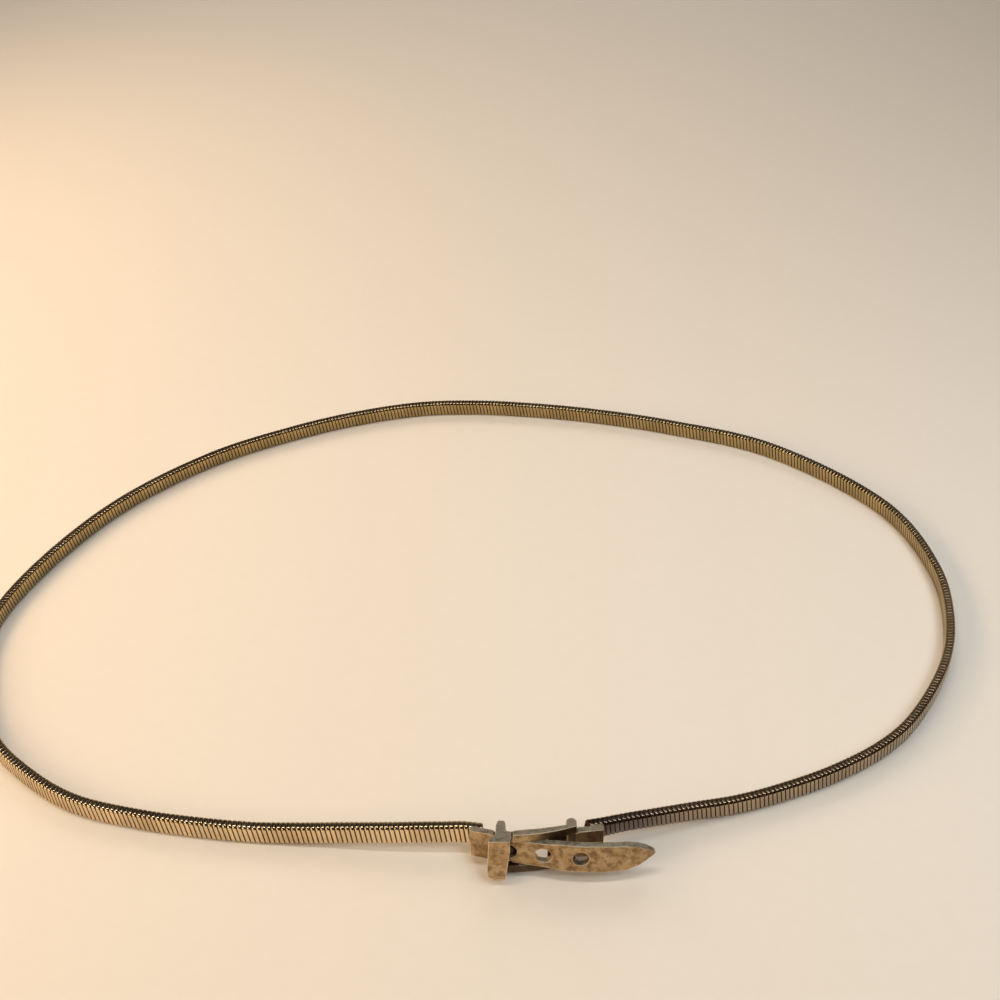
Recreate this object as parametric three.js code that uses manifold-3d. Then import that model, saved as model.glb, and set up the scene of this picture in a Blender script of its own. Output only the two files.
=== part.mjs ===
// Flat snake chain belt, fastened, standing on its edge as a wide oval loop.
// Millimetres, +Z up, +X to the wearer's left. The clasp is at the front, towards -Y.

import * as THREE from 'three';
import { mergeVertices } from 'three/addons/utils/BufferGeometryUtils.js';
import Module from 'manifold-3d';

const wasm = await Module();
wasm.setup();

// Driving dimensions of the band: a quarter-inch coil with rounded edges.
const BAND = { height: 6.0, thickness: 3.0, corner: 0.9, steps: 88, divisions: 2000 };
const CORNER_TURN = Math.PI / 4;

// Route of the band's centre line, from the end behind the strap plate, round the left, the back and the right,
// to the end behind the right end plate. lift is the clearance under the band. lean is in degrees, top inwards.
const ROUTE = [
  { x: 4, y: -103.7, lift: 3.1, lean: 13 },
  { x: -2.5, y: -102.8, lift: 3.1, lean: 12.5 },
  { x: -9.5, y: -102.8, lift: 3, lean: 11.5 },
  { x: -24.5, y: -102.6, lift: 2.3, lean: 10.5 },
  { x: -37, y: -102, lift: 1.3, lean: 10 },
  { x: -48, y: -101.6, lift: 0.5, lean: 9 },
  { x: -62, y: -101, lift: 0, lean: 7 },
  { x: -76, y: -99.6, lift: 0, lean: 6 },
  { x: -93.5, y: -96.9, lift: 0, lean: 5 },
  { x: -112, y: -92, lift: 0, lean: 4 },
  { x: -127, y: -83.2, lift: 0, lean: 3 },
  { x: -141, y: -70.5, lift: 0, lean: 2 },
  { x: -153.6, y: -46, lift: 0, lean: 0 },
  { x: -157.2, y: -18, lift: 0, lean: 0 },
  { x: -136.2, y: 32.6, lift: 0, lean: 3 },
  { x: -105, y: 66.6, lift: 0, lean: 6 },
  { x: -74.8, y: 85.3, lift: 0, lean: 7 },
  { x: -48.8, y: 96.5, lift: 0, lean: 7 },
  { x: -25, y: 102.8, lift: 0, lean: 7 },
  { x: -2.3, y: 104, lift: 0, lean: 7 },
  { x: 20.1, y: 102.3, lift: 0, lean: 7 },
  { x: 44.5, y: 98.5, lift: 0, lean: 7 },
  { x: 73.3, y: 91.2, lift: 0, lean: 6 },
  { x: 110, y: 76.6, lift: 0, lean: 4 },
  { x: 146.3, y: 40.3, lift: 0, lean: 3 },
  { x: 155, y: 8, lift: 0, lean: 3 },
  { x: 153.2, y: -15, lift: 0, lean: 3 },
  { x: 146.3, y: -35.8, lift: 0, lean: 3 },
  { x: 130, y: -59.8, lift: 0, lean: 3 },
  { x: 118.2, y: -70.4, lift: 0, lean: 3 },
  { x: 101.6, y: -80, lift: 0, lean: 3 },
  { x: 86.4, y: -86.3, lift: 0, lean: 3 },
  { x: 73, y: -90.8, lift: 0.4, lean: 1 },
  { x: 60, y: -94, lift: 1.3, lean: -2 },
  { x: 48, y: -97.2, lift: 2.4, lean: -5 },
  { x: 40.5, y: -99.1, lift: 2.9, lean: -5 },
  { x: 34.8, y: -100.7, lift: 3.1, lean: 0 },
  { x: 29.8, y: -102.1, lift: 3.2, lean: 7 },
];

// The clasp leans back as one group. Inside it x runs along the belt, out points away from the wearer
// and up runs along the clasp's face. Everything below is measured from the clasp's middle.
const CLASP = { y: -106.2, z: 6.72, lean: 13 };

// Cutters and raised outlines reach past the whole clasp. Joined pieces run this far into each other.
const REACH = 20;
const JOIN = 0.3;
const MERGE_DISTANCE = 1e-4;

// Strap: outer face of the bent strip in plan, and how far it reaches above and below the middle.
const STRAP = { thickness: 2.0, holeRadius: 2.2, holeSides: 20, samples: 22, tip: 47.9 };
const STRAP_CORNER = { x: -1.5, half: 4.25 };
const STRAP_FACE = [
  { x: -1.5, out: 0.7 },
  { x: 4, out: 2.13 },
  { x: 8, out: 3.45 },
  { x: 11, out: 4.2 },
  { x: 14.6, out: 4.75 },
  { x: 18, out: 5.3 },
  { x: 22.4, out: 6.1 },
  { x: 27.8, out: 6.55 },
  { x: 33, out: 6.5 },
  { x: 38.3, out: 6.05 },
  { x: 43.8, out: 5.0 },
  { x: 48.2, out: 3.9 },
];
const STRAP_HOLES = [9.0, 18.2, 28.0];
const STRAP_EDGE = [
  { x: -1.1, top: 4.25, low: 4.25 },
  { x: 4.9, top: 4.25, low: 4.25 },
  { x: 6.2, top: 3.0, low: 3.0 },
  { x: 9.2, top: 3.0, low: 3.0 },
  { x: 10.1, top: 3.65, low: 3.65 },
  { x: 19.8, top: 3.9, low: 3.9 },
  { x: 21.6, top: 4.25, low: 4.25 },
  { x: 33.0, top: 4.1, low: 4.5 },
  { x: 40.3, top: 3.75, low: 4.4 },
  { x: 43.4, top: 2.95, low: 3.35 },
  { x: 45.5, top: 1.85, low: 2.0 },
  { x: 47.1, top: 0.65, low: 0.75 },
];

// Keeper: a closed loop round the strap. The front bar is broad, the back ear narrow.
const KEEPER = { front: 7.5, back: -1.1, half: 6.35, frontWall: 1.2, backWall: 0.9, capWall: 1.25, corner: 0.6 };
const KEEPER_PLAN = [
  { x: 3.3, out: 7.5 },
  { x: 9.3, out: 7.5 },
  { x: 9.7, out: 4.2 },
  { x: 9.7, out: 3.2 },
  { x: 8.3, out: 2.9 },
  { x: 8.1, out: -0.4 },
  { x: 7.6, out: -1.1 },
  { x: 6.1, out: -1.1 },
  { x: 5.6, out: 0.4 },
  { x: 5.4, out: 4.3 },
  { x: 3.4, out: 6.4 },
];
const KEEPER_SIDES = [
  { x: 3.7, up: 6.35 },
  { x: 3.3, up: -4.3 },
  { x: 3.7, up: -5.6 },
  { x: 5.0, up: -6.35 },
  { x: 8.25, up: -6.35 },
  { x: 9.7, up: 6.35 },
];

// Frame: two curved rails, a right bar with a web to the hinge ears, a back tab and a stud.
const FRAME = { half: 6.35, window: 4.2, topLeft: 10.0, lowLeft: 8.75 };
const FRAME_FRONT = [
  { x: 12, out: 4.7 },
  { x: 17.2, out: 4.07 },
  { x: 22, out: 2.85 },
  { x: 27.05, out: 0.95 },
];
const FRAME_BACK = [
  { x: 24.25, out: 0.45 },
  { x: 22.6, out: 0.73 },
  { x: 17.25, out: 1.9 },
  { x: 11.95, out: 2.57 },
];
const FRAME_LEFT = { front: 4.95, back: 2.95 };
const RIGHT_BAR = [
  { x: 20.5, out: 3.22 },
  { x: 22.7, out: 2.59 },
  { x: 22.7, out: 0.73 },
  { x: 20.5, out: 1.2 },
];
const WEB = [
  { x: 22.4, out: 1.6 },
  { x: 24.5, out: 1.25 },
  { x: 24.5, out: 0.6 },
  { x: 22.4, out: 0.85 },
];
const EAR = { x: 25.65, out: -0.95, radius: 1.4, facets: 6 };
const TAB = { left: 7.9, right: 10.5, back: 0.1, frontLeft: 0.9, frontRight: 1.5, half: 3.6 };
const YOKE = { left: 10.0, right: 11.6, back: 0.6, front: 1.85, half: 4.4, legFront: 3.2, legHalf: 4.0 };
const STUD = { x: 9.0, radius: 1.5, root: 0.5, out: 3.4, sides: 16 };

// Right end plate: knuckle, leaf and thicker end block.
const KNUCKLE = { radius: 1.15, half: 3.9, sides: 14, neckFront: 1.05, neckBack: 0.4, neckEnd: 27.8 };
const PLATE = { left: 26.9, right: 34.35, frontLeft: 1.1, frontRight: 0.34 };
const LEAF = { left: 27.4, half: 4.3, backLeft: -1.16, backRight: -1.6 };
const END_BLOCK = { left: 30.9, half: 4.45, proud: 0.07, backLeft: -1.95, backRight: -2.2 };

const GILT = new THREE.MeshStandardMaterial({ color: 0xb08d57, roughness: 0.42, metalness: 0.9 });
const TARNISHED = new THREE.MeshStandardMaterial({ color: 0x9c7c50, roughness: 0.5, metalness: 0.85 });

const radians = THREE.MathUtils.degToRad;

// Slope of a named column at a row, zero beside any level stretch, so that equal rows stay exactly level.
function columnSlope(rows, column, index) {
  if (index === 0 || index === rows.length - 1) return 0;
  const before = rows[index][column] - rows[index - 1][column];
  const after = rows[index + 1][column] - rows[index][column];
  return before * after <= 0 ? 0 : (2 * before * after) / (before + after);
}

// Smooth value of a named column between two rows of a table.
function columnValue(rows, column, position) {
  const index = Math.min(Math.floor(position), rows.length - 2);
  const f = position - index;
  const start = rows[index][column];
  const rise = rows[index + 1][column] - start;
  const a = columnSlope(rows, column, index);
  const b = columnSlope(rows, column, index + 1);
  return start + f * (a + f * (3 * rise - 2 * a - b + f * (a + b - 2 * rise)));
}

// The band's route: a plan curve, with the height and the lean of the section worked out along it.
class BandRoute extends THREE.Curve {
  constructor(rows, band) {
    super();
    this.rows = rows;
    this.band = band;
    this.plan = new THREE.CatmullRomCurve3(rows.map((row) => new THREE.Vector3(row.x, row.y, 0)));
    this.arcLengthDivisions = band.divisions;
  }

  lean(t) {
    return radians(columnValue(this.rows, 'lean', t * (this.rows.length - 1)));
  }

  getPoint(t, target = new THREE.Vector3()) {
    const { height, thickness, corner } = this.band;
    const lean = this.lean(t);
    const upright = (height / 2 - corner) * Math.cos(lean);
    const across = (thickness / 2 - corner) * Math.abs(Math.sin(lean));
    this.plan.getPoint(t, target);
    target.z = columnValue(this.rows, 'lift', t * (this.rows.length - 1)) + upright + across + corner;
    return target;
  }

  computeFrenetFrames(segments) {
    const frames = { tangents: [], normals: [], binormals: [] };
    for (let i = 0; i <= segments; i += 1) {
      const t = this.getUtoTmapping(i / segments);
      const lean = this.lean(t);
      const tangent = this.plan.getTangent(t);
      const outward = new THREE.Vector3(-tangent.y, tangent.x, 0);
      const up = new THREE.Vector3(0, 0, 1);
      const normal = outward.clone().multiplyScalar(Math.cos(lean)).addScaledVector(up, Math.sin(lean));
      frames.tangents.push(tangent);
      frames.normals.push(normal);
      frames.binormals.push(tangent.clone().cross(normal));
    }
    return frames;
  }
}

// Rounded rectangle with two facets to each corner.
function roundedSection(width, height, corner) {
  const points = [];
  for (const [sx, sy, start] of [[1, 1, 0], [-1, 1, 2], [-1, -1, 4], [1, -1, 6]]) {
    for (let i = 0; i <= 2; i += 1) {
      const turn = (start + i) * CORNER_TURN;
      const x = sx * (width / 2 - corner) + corner * Math.cos(turn);
      const y = sy * (height / 2 - corner) + corner * Math.sin(turn);
      points.push(new THREE.Vector2(x, y));
    }
  }
  return new THREE.Shape(points);
}

function bandGeometry() {
  const section = roundedSection(BAND.thickness, BAND.height, BAND.corner);
  const path = new BandRoute(ROUTE, BAND);
  return new THREE.ExtrudeGeometry(section, { steps: BAND.steps, extrudePath: path });
}

function shapeOf(rows, across, along) {
  return new THREE.Shape(rows.map((row) => new THREE.Vector2(across(row), along(row))));
}

// Plan outline raised between two heights. Outward in plan is -Y.
function planPrism(rows, low, high) {
  const shape = shapeOf(rows, (row) => row.x, (row) => -row.out);
  const geometry = new THREE.ExtrudeGeometry(shape, { depth: high - low, bevelEnabled: false });
  return geometry.translate(0, 0, low);
}

// Face outline, given by x and up, pushed through the whole depth of the clasp.
function facePrism(rows) {
  const shape = shapeOf(rows, (row) => row.x, (row) => row.up);
  const geometry = new THREE.ExtrudeGeometry(shape, { depth: 2 * REACH, bevelEnabled: false });
  return geometry.rotateX(Math.PI / 2).translate(0, REACH, 0);
}

// Round peg or cutter along the outward direction.
function peg(x, radius, inner, outer, sides) {
  const geometry = new THREE.CylinderGeometry(radius, radius, outer - inner, sides);
  return geometry.translate(x, -(inner + outer) / 2, 0);
}

function solid(geometry) {
  const bare = geometry.index ? geometry.toNonIndexed() : geometry.clone();
  bare.deleteAttribute('normal');
  bare.deleteAttribute('uv');
  const merged = mergeVertices(bare, MERGE_DISTANCE);
  const vertProperties = new Float32Array(merged.attributes.position.array);
  const triVerts = new Uint32Array(merged.index.array);
  return new wasm.Manifold(new wasm.Mesh({ numProp: 3, vertProperties, triVerts }));
}

function geometryOf(manifold) {
  const mesh = manifold.getMesh();
  const geometry = new THREE.BufferGeometry();
  geometry.setAttribute('position', new THREE.BufferAttribute(new Float32Array(mesh.vertProperties), 3));
  geometry.setIndex(new THREE.BufferAttribute(new Uint32Array(mesh.triVerts), 1));
  geometry.computeVertexNormals();
  return geometry;
}

// Bent strip in plan between the strap's outer face and its inner face.
function strapPlan() {
  const curve = new THREE.SplineCurve(STRAP_FACE.map((row) => new THREE.Vector2(row.x, row.out)));
  const outer = [];
  const inner = [];
  for (let i = 0; i <= STRAP.samples; i += 1) {
    const u = i / STRAP.samples;
    const point = curve.getPointAt(u);
    const along = curve.getTangentAt(u);
    outer.push({ x: point.x, out: point.y });
    inner.push({ x: point.x + along.y * STRAP.thickness, out: point.y - along.x * STRAP.thickness });
  }
  return [...outer, ...inner.reverse()];
}

function strapGeometry() {
  const top = STRAP_EDGE.map((row) => ({ x: row.x, up: row.top }));
  const low = STRAP_EDGE.map((row) => ({ x: row.x, up: -row.low })).reverse();
  const corner = { x: STRAP_CORNER.x, up: STRAP_CORNER.half };
  const outline = [...low, corner, ...top.slice(1), { x: STRAP.tip, up: 0 }].reverse();
  let strap = solid(planPrism(strapPlan(), -REACH / 2, REACH / 2)).intersect(solid(facePrism(outline)));
  for (const x of STRAP_HOLES) {
    strap = strap.subtract(solid(peg(x, STRAP.holeRadius, -REACH / 2, REACH / 2, STRAP.holeSides)));
  }
  return geometryOf(strap);
}

// Closed ring seen from the side, between an outer and an inner rectangle.
function keeperGeometry() {
  const depth = KEEPER.front - KEEPER.back;
  const ring = roundedSection(depth, 2 * KEEPER.half, KEEPER.corner);
  const middle = (KEEPER.front + KEEPER.back) / 2;
  const loop = new THREE.ExtrudeGeometry(ring, { depth: REACH, bevelEnabled: false });
  const sideways = new THREE.Matrix4().makeBasis(
    new THREE.Vector3(0, 1, 0),
    new THREE.Vector3(0, 0, 1),
    new THREE.Vector3(1, 0, 0),
  );
  loop.applyMatrix4(sideways).translate(0, -middle, 0);
  const innerDepth = depth - KEEPER.frontWall - KEEPER.backWall;
  const innerMiddle = (KEEPER.front - KEEPER.frontWall + KEEPER.back + KEEPER.backWall) / 2;
  const core = new THREE.BoxGeometry(2 * REACH, innerDepth, 2 * (KEEPER.half - KEEPER.capWall));
  core.translate(0, -innerMiddle, 0);
  const keeper = solid(loop)
    .subtract(solid(core))
    .intersect(solid(planPrism(KEEPER_PLAN.slice().reverse(), -REACH, REACH)))
    .intersect(solid(facePrism(KEEPER_SIDES)));
  return geometryOf(keeper);
}

// Plan of one rail: curved front, rounded hinge ear and curved back.
function railPlan(left) {
  const rows = [{ x: left, out: FRAME_LEFT.front }, ...FRAME_FRONT];
  for (let i = 0; i <= EAR.facets; i += 1) {
    const turn = -Math.PI * (i / EAR.facets);
    rows.push({ x: EAR.x + EAR.radius * Math.cos(turn), out: EAR.out + EAR.radius * Math.sin(turn) });
  }
  rows.push(...FRAME_BACK, { x: left, out: FRAME_LEFT.back });
  return rows;
}

// Upright bar between two places along the belt and two depths.
function bar(left, right, back, front, low, high) {
  const rows = [{ x: left, out: front }, { x: right, out: front }, { x: right, out: back }, { x: left, out: back }];
  return solid(planPrism(rows, low, high));
}

function frameGeometry() {
  const tab = [
    { x: TAB.left, out: TAB.frontLeft },
    { x: TAB.right, out: TAB.frontRight },
    { x: TAB.right, out: TAB.back },
    { x: TAB.left, out: TAB.back },
  ];
  const legTop = FRAME.window + JOIN;
  const frame = solid(planPrism(railPlan(FRAME.topLeft), FRAME.window, FRAME.half))
    .add(solid(planPrism(railPlan(FRAME.lowLeft), -FRAME.half, -FRAME.window)))
    .add(solid(planPrism(RIGHT_BAR, -legTop, legTop)))
    .add(solid(planPrism(WEB, -legTop, legTop)))
    .add(solid(planPrism(tab, -TAB.half, TAB.half)))
    .add(bar(YOKE.left, YOKE.right, YOKE.back, YOKE.front, -YOKE.half, YOKE.half))
    .add(bar(YOKE.left, YOKE.right, YOKE.front - JOIN, YOKE.legFront, YOKE.legHalf, legTop))
    .add(bar(YOKE.left, YOKE.right, YOKE.front - JOIN, YOKE.legFront, -legTop, -YOKE.legHalf))
    .add(solid(peg(STUD.x, STUD.radius, STUD.root, STUD.out, STUD.sides)));
  return geometryOf(frame);
}

// Front face of the right end plate at a place along the belt.
function plateFront(x) {
  const along = (x - PLATE.left) / (PLATE.right - PLATE.left);
  return THREE.MathUtils.lerp(PLATE.frontLeft, PLATE.frontRight, along);
}

function endPlateGeometry() {
  const knuckle = new THREE.CylinderGeometry(KNUCKLE.radius, KNUCKLE.radius, 2 * KNUCKLE.half, KNUCKLE.sides);
  knuckle.rotateX(Math.PI / 2).translate(EAR.x, -EAR.out, 0);
  const neck = [
    { x: EAR.x, out: EAR.out + KNUCKLE.neckFront },
    { x: PLATE.left, out: PLATE.frontLeft },
    { x: KNUCKLE.neckEnd, out: plateFront(KNUCKLE.neckEnd) },
    { x: KNUCKLE.neckEnd, out: LEAF.backLeft },
    { x: EAR.x, out: EAR.out - KNUCKLE.neckBack },
  ];
  const leaf = [
    { x: LEAF.left, out: plateFront(LEAF.left) },
    { x: PLATE.right, out: PLATE.frontRight },
    { x: PLATE.right, out: LEAF.backRight },
    { x: LEAF.left, out: LEAF.backLeft },
  ];
  const endBlock = [
    { x: END_BLOCK.left, out: plateFront(END_BLOCK.left) + END_BLOCK.proud },
    { x: PLATE.right, out: PLATE.frontRight },
    { x: PLATE.right, out: END_BLOCK.backRight },
    { x: END_BLOCK.left, out: END_BLOCK.backLeft },
  ];
  const plate = solid(knuckle)
    .add(solid(planPrism(neck, -KNUCKLE.half, KNUCKLE.half)))
    .add(solid(planPrism(leaf, -LEAF.half, LEAF.half)))
    .add(solid(planPrism(endBlock, -END_BLOCK.half, END_BLOCK.half)));
  return geometryOf(plate);
}

function piece(name, geometry, material) {
  const mesh = new THREE.Mesh(geometry, material);
  mesh.name = name;
  return mesh;
}

const clasp = new THREE.Group();
clasp.position.set(0, CLASP.y, CLASP.z);
clasp.rotation.x = -radians(CLASP.lean);
clasp.add(piece('strap_tongue', strapGeometry(), TARNISHED));
clasp.add(piece('keeper_loop', keeperGeometry(), TARNISHED));
clasp.add(piece('buckle_frame', frameGeometry(), TARNISHED));
clasp.add(piece('right_end_plate', endPlateGeometry(), TARNISHED));

const belt = new THREE.Group();
belt.add(piece('coil_band', bandGeometry(), GILT));
belt.add(clasp);

// The origin is the middle of the footprint, on the surface that the belt stands on.
belt.updateMatrixWorld(true);
const box = new THREE.Box3().setFromObject(belt, true);
const middle = box.getCenter(new THREE.Vector3());
belt.position.set(-middle.x, -middle.y, -box.min.z);

export default belt;
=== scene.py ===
"""Snake chain belt, fastened, standing on its edge as a wide oval loop.

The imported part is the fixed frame. The flat coil is wound here turn by turn along the band's own route, and
each clasp piece is modelled again with soft worn edges in the place that the frame gives it.
Sizes are millimetres, and a piece becomes metres when it is laid or seated. Places closer than NEAR count as
one. The lights and the floor are in metres.
"""

import logging
import math
from dataclasses import dataclass
from enum import Enum
from typing import NamedTuple

import bmesh
import bpy
import numpy as np
from mathutils import Matrix, Vector

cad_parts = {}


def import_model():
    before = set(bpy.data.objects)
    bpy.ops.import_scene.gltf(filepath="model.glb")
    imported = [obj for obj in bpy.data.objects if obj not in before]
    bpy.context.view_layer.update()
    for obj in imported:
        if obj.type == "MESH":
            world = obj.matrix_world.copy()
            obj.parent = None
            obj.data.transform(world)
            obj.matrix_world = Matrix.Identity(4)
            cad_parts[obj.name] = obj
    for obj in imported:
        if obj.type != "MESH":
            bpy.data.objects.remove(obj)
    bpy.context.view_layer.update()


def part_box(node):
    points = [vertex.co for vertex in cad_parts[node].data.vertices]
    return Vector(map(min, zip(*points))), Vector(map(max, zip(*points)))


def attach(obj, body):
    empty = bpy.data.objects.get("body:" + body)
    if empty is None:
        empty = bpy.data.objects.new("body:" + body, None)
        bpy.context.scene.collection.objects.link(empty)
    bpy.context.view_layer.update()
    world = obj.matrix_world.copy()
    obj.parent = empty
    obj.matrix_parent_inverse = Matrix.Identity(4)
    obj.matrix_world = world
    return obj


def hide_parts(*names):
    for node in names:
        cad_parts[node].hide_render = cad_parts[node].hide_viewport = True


LOG = logging.getLogger("snake_chain_belt")
MM = 0.001
NEAR = 0.001
BODY = "root"
PEG_FACETS = 48
Colour = tuple[float, float, float, float]
Span = tuple[float, float]
NOISE_SPAN: Span = (0.3, 0.7)


class Slot(Enum):
    """Material slots of the record."""

    CHAIN = "chain_gilt"
    CLASP = "clasp_gilt"


class Join(Enum):
    """Ways of putting two solids together."""

    CUT = "DIFFERENCE"
    KEEP = "INTERSECT"
    WELD = "UNION"


class RoutePoint(NamedTuple):
    """A place on the band's centre line: plan place, clearance under the band and lean in degrees."""

    x: float
    y: float
    lift: float
    lean: float


class PlanPoint(NamedTuple):
    """A place in the clasp seen from above: along the belt and outwards."""

    x: float
    out: float


class FacePoint(NamedTuple):
    """A place in the clasp seen from the front: along the belt and up."""

    x: float
    up: float


class StrapEdge(NamedTuple):
    """How far the strap reaches above and below its middle at a place along the belt."""

    x: float
    top: float
    low: float


class Grain(NamedTuple):
    """One noise of a finish: waves a metre, how many finer layers it has and how strong they are."""

    scale: float
    detail: float = 4.0
    rough: float = 0.5


ROUTE = (
    RoutePoint(4, -103.7, 3.1, 13),
    RoutePoint(-2.5, -102.8, 3.1, 12.5),
    RoutePoint(-9.5, -102.8, 3.0, 11.5),
    RoutePoint(-24.5, -102.6, 2.3, 10.5),
    RoutePoint(-37, -102, 1.3, 10),
    RoutePoint(-48, -101.6, 0.5, 9),
    RoutePoint(-62, -101, 0, 7),
    RoutePoint(-76, -99.6, 0, 6),
    RoutePoint(-93.5, -96.9, 0, 5),
    RoutePoint(-112, -92, 0, 4),
    RoutePoint(-127, -83.2, 0, 3),
    RoutePoint(-141, -70.5, 0, 2),
    RoutePoint(-153.6, -46, 0, 0),
    RoutePoint(-157.2, -18, 0, 0),
    RoutePoint(-136.2, 32.6, 0, 3),
    RoutePoint(-105, 66.6, 0, 6),
    RoutePoint(-74.8, 85.3, 0, 7),
    RoutePoint(-48.8, 96.5, 0, 7),
    RoutePoint(-25, 102.8, 0, 7),
    RoutePoint(-2.3, 104, 0, 7),
    RoutePoint(20.1, 102.3, 0, 7),
    RoutePoint(44.5, 98.5, 0, 7),
    RoutePoint(73.3, 91.2, 0, 6),
    RoutePoint(110, 76.6, 0, 4),
    RoutePoint(146.3, 40.3, 0, 3),
    RoutePoint(155, 8, 0, 3),
    RoutePoint(153.2, -15, 0, 3),
    RoutePoint(146.3, -35.8, 0, 3),
    RoutePoint(130, -59.8, 0, 3),
    RoutePoint(118.2, -70.4, 0, 3),
    RoutePoint(101.6, -80, 0, 3),
    RoutePoint(86.4, -86.3, 0, 3),
    RoutePoint(73, -90.8, 0.4, 1),
    RoutePoint(60, -94, 1.3, -2),
    RoutePoint(48, -97.2, 2.4, -5),
    RoutePoint(40.5, -99.1, 2.9, -5),
    RoutePoint(34.8, -100.7, 3.1, 0),
    RoutePoint(29.8, -102.1, 3.2, 7),
)


def clear_selection() -> None:
    """Leave edit mode and deselect everything, because operators act on all that is selected."""
    if bpy.context.object and bpy.context.object.mode != "OBJECT":
        bpy.ops.object.mode_set(mode="OBJECT")
    bpy.ops.object.select_all(action="DESELECT")


def take_up(piece: bpy.types.Object) -> None:
    """Select one piece alone and make it active."""
    clear_selection()
    piece.select_set(True)
    bpy.context.view_layer.objects.active = piece


def open_for_editing(piece: bpy.types.Object, mode: str = "FACE") -> None:
    """Enter edit mode on a piece with nothing selected, in vertex, edge or face mode."""
    take_up(piece)
    bpy.ops.object.mode_set(mode="EDIT")
    bpy.ops.mesh.select_mode(type=mode)
    bpy.ops.mesh.select_all(action="DESELECT")


def apply_modifier(piece: bpy.types.Object, kind: str, **settings: object) -> None:
    """Add one modifier with the given settings and apply it."""
    take_up(piece)
    modifier = piece.modifiers.new("work", kind)
    for key, value in settings.items():
        setattr(modifier, key, value)
    bpy.ops.object.modifier_apply(modifier=modifier.name)


def raise_outline(name: str, corners: list[Vector], rise: Vector) -> bpy.types.Object:
    """Shape a filled circle into an outline and extrude it into a solid.

    Args:
        name: the new piece's name.
        corners: the outline's corners, in order.
        rise: how far and which way the outline is extruded.

    Returns:
        The closed solid.
    """
    clear_selection()
    bpy.ops.mesh.primitive_circle_add(vertices=len(corners), radius=1.0, fill_type="NGON")
    piece = bpy.context.object
    piece.name = name
    for vertex, corner in zip(piece.data.vertices, corners):
        vertex.co = corner
    bpy.ops.object.mode_set(mode="EDIT")
    bpy.ops.mesh.select_all(action="SELECT")
    bpy.ops.mesh.extrude_region_move(TRANSFORM_OT_translate={"value": rise})
    bpy.ops.mesh.select_all(action="SELECT")
    bpy.ops.mesh.normals_make_consistent(inside=False)
    bpy.ops.object.mode_set(mode="OBJECT")
    return piece


def plan_solid(name: str, rows: list[PlanPoint], low: float, high: float) -> bpy.types.Object:
    """Solid raised from an outline seen from above, between two heights."""
    corners = [Vector((row.x, -row.out, low)) for row in rows]
    return raise_outline(name, corners, Vector((0, 0, high - low)))


def face_solid(name: str, rows: list[FacePoint], reach: float) -> bpy.types.Object:
    """Solid pushed through the clasp's whole depth from an outline seen from the front."""
    corners = [Vector((row.x, -reach, row.up)) for row in rows]
    return raise_outline(name, corners, Vector((0, 2 * reach, 0)))


def peg(name: str, x: float, radius: float, inner: float, outer: float) -> bpy.types.Object:
    """Round peg or cutter that points outwards from the clasp."""
    clear_selection()
    bpy.ops.mesh.primitive_cylinder_add(
        vertices=PEG_FACETS, radius=radius, depth=outer - inner, location=(x, -(inner + outer) / 2, 0),
        rotation=(math.pi / 2, 0, 0))
    piece = bpy.context.object
    piece.name = name
    bpy.ops.object.transform_apply(location=True, rotation=True, scale=True)
    return piece


def bar(name: str, low: tuple[float, float, float], high: tuple[float, float, float]) -> bpy.types.Object:
    """Upright bar between two corners, each given as along, outwards and up."""
    rows = [PlanPoint(low[0], high[1]), PlanPoint(high[0], high[1]), PlanPoint(high[0], low[1]),
            PlanPoint(low[0], low[1])]
    return plan_solid(name, rows, low[2], high[2])


def vertex_places(piece: bpy.types.Object) -> np.ndarray:
    """Every vertex of a piece, as rows."""
    places = np.zeros(len(piece.data.vertices) * 3, np.float32)
    piece.data.vertices.foreach_get("co", places)
    return places.reshape(-1, 3).astype(float)


def store_values(piece: bpy.types.Object, name: str, values: np.ndarray) -> None:
    """Store one value for each vertex, which a finish can follow."""
    attribute = piece.data.attributes.new(name, "FLOAT", "POINT")
    attribute.data.foreach_set("value", values.astype(np.float32))


def cubic_step(
        f: np.ndarray, start: np.ndarray, rise: np.ndarray, a: np.ndarray, b: np.ndarray,
) -> np.ndarray:
    """Smooth place at the share f of a step, from its start over its rise, with end slopes a and b."""
    return start + f * (a + f * (3 * rise - 2 * a - b + f * (a + b - 2 * rise)))


def combine(piece: bpy.types.Object, tool: bpy.types.Object, way: Join) -> None:
    """Join, cut or intersect a piece with a tool, and throw the tool away."""
    apply_modifier(piece, "BOOLEAN", operation=way.value, object=tool, solver="EXACT")
    bpy.data.objects.remove(tool)


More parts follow.
